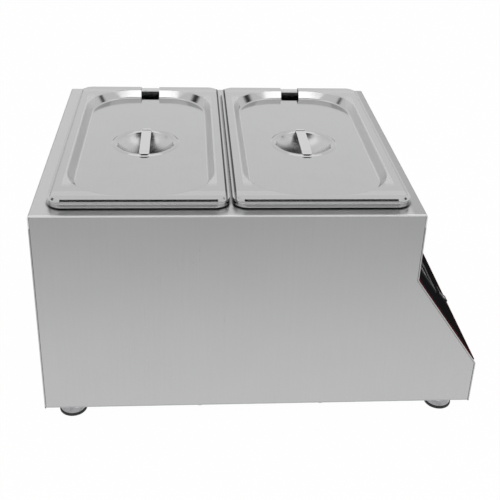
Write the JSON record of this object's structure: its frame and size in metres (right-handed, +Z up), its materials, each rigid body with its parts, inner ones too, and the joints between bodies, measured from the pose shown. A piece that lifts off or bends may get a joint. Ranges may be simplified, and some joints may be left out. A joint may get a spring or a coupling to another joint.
{
  "type": "chocolate melter",
  "caption": "Countertop chocolate melter: low stainless box with a sloped control panel, lift-out gastronorm pans, lids with ladle slots and round domed feet.",
  "frame": {"origin": "middle of the footprint, on the surface that the feet stand on", "axes": "+X across the machine along the pans, -Y towards the sloped control panel, +Z up"},
  "size_m": [0.35, 0.46, 0.2599],
  "materials": {
    "brushed_casing": "satin stainless sheet, fine vertical grain",
    "deck_steel": "satin stainless sheet",
    "lid_steel": "polished stainless pressing",
    "pan_steel": "polished stainless pressing",
    "well_steel": "drawn stainless, dull",
    "panel_black": "black film with a red border line",
    "black_plastic": "fine grained black plastic",
    "button_grey": "soft grey key caps",
    "rocker_black": "gloss black key",
    "window_tint": "dark tinted window",
    "foot_metal": "plated steel cup",
    "foot_rubber": "black rubber",
    "zinc": "zinc plated steel",
    "base_steel": "galvanised sheet",
    "mat_silicone": "orange brown heating mat",
    "press_aluminium": "plain aluminium plate",
    "wool": "pale mineral wool",
    "ceramic": "glazed ceramic",
    "brass": "plain brass",
    "clip_orange": "orange moulded clip"
  },
  "bodies": {
    "housing": {"right_cheek": "brushed_casing", "left_cheek": "brushed_casing", "top_deck": "deck_steel", "back_panel": "brushed_casing", "front_apron": "brushed_casing", "base_plate": "base_steel", "control_overlay": "panel_black", "base_screws": "zinc", "foot_cups": "foot_metal", "foot_rings": "foot_rubber", "foot_screws": "zinc", "foot_nuts": "zinc", "terminal_block": "ceramic", "terminal_screws": "zinc", "earth_stud": "brass", "earth_nuts": "brass", "cord_gland": "black_plastic", "gland_nut": "black_plastic", "stud_nuts": "zinc", "controller_clips": "clip_orange", "rear_well": "well_steel", "rear_heater_mat": "mat_silicone", "rear_press_plate": "press_aluminium", "rear_thermal_cutout": "black_plastic", "rear_probe": "zinc", "rear_probe_saddle": "zinc", "rear_blanket": "wool", "front_well": "well_steel", "front_heater_mat": "mat_silicone", "front_press_plate": "press_aluminium", "front_thermal_cutout": "black_plastic", "front_probe": "zinc", "front_probe_saddle": "zinc", "front_blanket": "wool", "left_controller": "black_plastic", "left_window": "window_tint", "left_rocker_frame": "black_plastic", "right_controller": "black_plastic", "right_window": "window_tint", "right_rocker_frame": "black_plastic"},
    "rear_pan": {"rear_pan": "pan_steel"},
    "rear_lid": {"rear_lid": "lid_steel", "rear_lid_handle": "lid_steel"},
    "front_pan": {"front_pan": "pan_steel"},
    "front_lid": {"front_lid": "lid_steel", "front_lid_handle": "lid_steel"},
    "left_rocker": {"left_rocker_key": "rocker_black"},
    "left_button_1": {"left_button_1": "button_grey"},
    "left_button_2": {"left_button_2": "button_grey"},
    "left_button_3": {"left_button_3": "button_grey"},
    "left_button_4": {"left_button_4": "button_grey"},
    "right_rocker": {"right_rocker_key": "rocker_black"},
    "right_button_1": {"right_button_1": "button_grey"},
    "right_button_2": {"right_button_2": "button_grey"},
    "right_button_3": {"right_button_3": "button_grey"},
    "right_button_4": {"right_button_4": "button_grey"}
  },
  "joints": [
    {"name": "rear_pan_lift", "type": "slide", "parent": "housing", "child": "rear_pan", "axis": [0, 0, 1], "range_m": [0, 0.13]},
    {"name": "rear_lid_lift", "type": "slide", "parent": "rear_pan", "child": "rear_lid", "axis": [0, 0, 1], "range_m": [0, 0.08]},
    {"name": "front_pan_lift", "type": "slide", "parent": "housing", "child": "front_pan", "axis": [0, 0, 1], "range_m": [0, 0.13]},
    {"name": "front_lid_lift", "type": "slide", "parent": "front_pan", "child": "front_lid", "axis": [0, 0, 1], "range_m": [0, 0.08]},
    {"name": "left_rocker_switch", "type": "hinge", "parent": "housing", "child": "left_rocker", "pos_m": [-0.084, -0.21153, 0.09688], "axis": [1, 0, 0], "range_deg": [0, 18]},
    {"name": "left_button_1_press", "type": "slide", "parent": "housing", "child": "left_button_1", "axis": [0, 0.8148, -0.5798], "range_m": [0, 0.0008], "stiffness_N_per_m": 400, "springref_m": -0.0005},
    {"name": "left_button_2_press", "type": "slide", "parent": "housing", "child": "left_button_2", "axis": [0, 0.8148, -0.5798], "range_m": [0, 0.0008], "stiffness_N_per_m": 400, "springref_m": -0.0005},
    {"name": "left_button_3_press", "type": "slide", "parent": "housing", "child": "left_button_3", "axis": [0, 0.8148, -0.5798], "range_m": [0, 0.0008], "stiffness_N_per_m": 400, "springref_m": -0.0005},
    {"name": "left_button_4_press", "type": "slide", "parent": "housing", "child": "left_button_4", "axis": [0, 0.8148, -0.5798], "range_m": [0, 0.0008], "stiffness_N_per_m": 400, "springref_m": -0.0005},
    {"name": "right_rocker_switch", "type": "hinge", "parent": "housing", "child": "right_rocker", "pos_m": [0.084, -0.21153, 0.09688], "axis": [1, 0, 0], "range_deg": [0, 18]},
    {"name": "right_button_1_press", "type": "slide", "parent": "housing", "child": "right_button_1", "axis": [0, 0.8148, -0.5798], "range_m": [0, 0.0008], "stiffness_N_per_m": 400, "springref_m": -0.0005},
    {"name": "right_button_2_press", "type": "slide", "parent": "housing", "child": "right_button_2", "axis": [0, 0.8148, -0.5798], "range_m": [0, 0.0008], "stiffness_N_per_m": 400, "springref_m": -0.0005},
    {"name": "right_button_3_press", "type": "slide", "parent": "housing", "child": "right_button_3", "axis": [0, 0.8148, -0.5798], "range_m": [0, 0.0008], "stiffness_N_per_m": 400, "springref_m": -0.0005},
    {"name": "right_button_4_press", "type": "slide", "parent": "housing", "child": "right_button_4", "axis": [0, 0.8148, -0.5798], "range_m": [0, 0.0008], "stiffness_N_per_m": 400, "springref_m": -0.0005}
  ]
}
